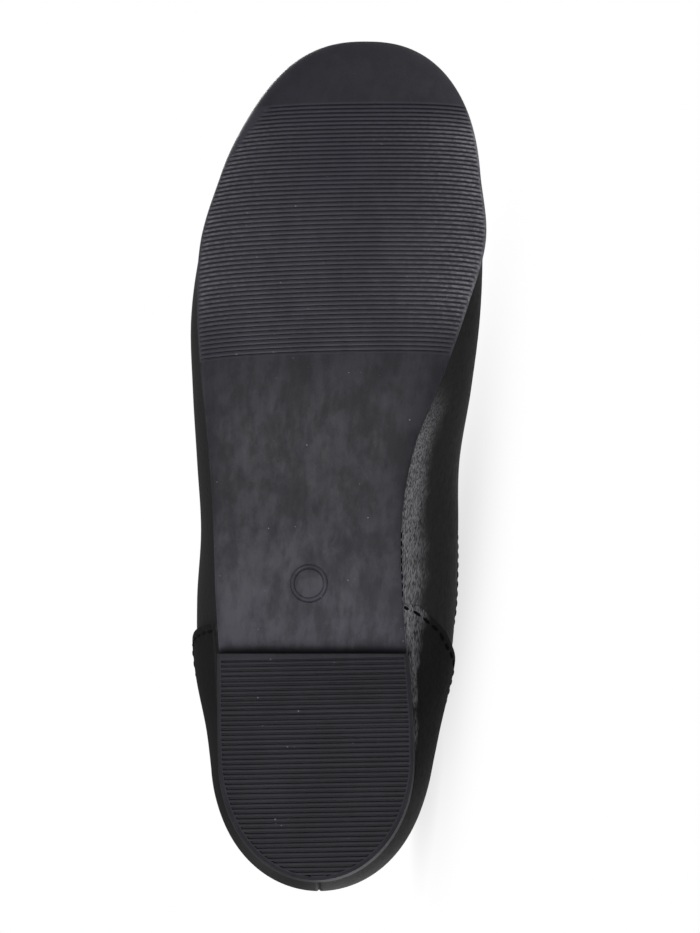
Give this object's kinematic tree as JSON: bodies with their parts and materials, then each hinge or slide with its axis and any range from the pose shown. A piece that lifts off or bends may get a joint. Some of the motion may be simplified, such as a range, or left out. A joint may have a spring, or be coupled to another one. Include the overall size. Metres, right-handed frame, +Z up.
{
  "type": "over-the-knee boot",
  "caption": "Tall pull-on boot for a right foot with a low heel, finely ribbed rubber sole, hollow foot and slack shaft reaching over the knee, lying on its inner side.",
  "frame": {"origin": "on the floor, under the middle of the boot's box as it lies on its inner side", "axes": "+X from heel to toe, level with the floor, +Y up the shaft and away from the tread, +Z up, to the outer side of the foot"},
  "size_m": [0.2488, 0.5402, 0.0841],
  "materials": {
    "sole_rubber": "satin moulded rubber with fine ribs",
    "heel_rubber": "satin moulded rubber with fine ribs",
    "sock_lining": "matt sock lining",
    "vamp_leather": "soft grained black leather, semi-gloss",
    "counter_leather": "smooth black leather, semi-gloss",
    "shaft_leather": "soft grained black leather, semi-gloss"
  },
  "bodies": {
    "root": {"outsole": "sole_rubber", "heel": "heel_rubber", "insole": "sock_lining", "upper": "vamp_leather", "counter": "counter_leather", "shaft": "shaft_leather"}
  },
  "joints": []
}
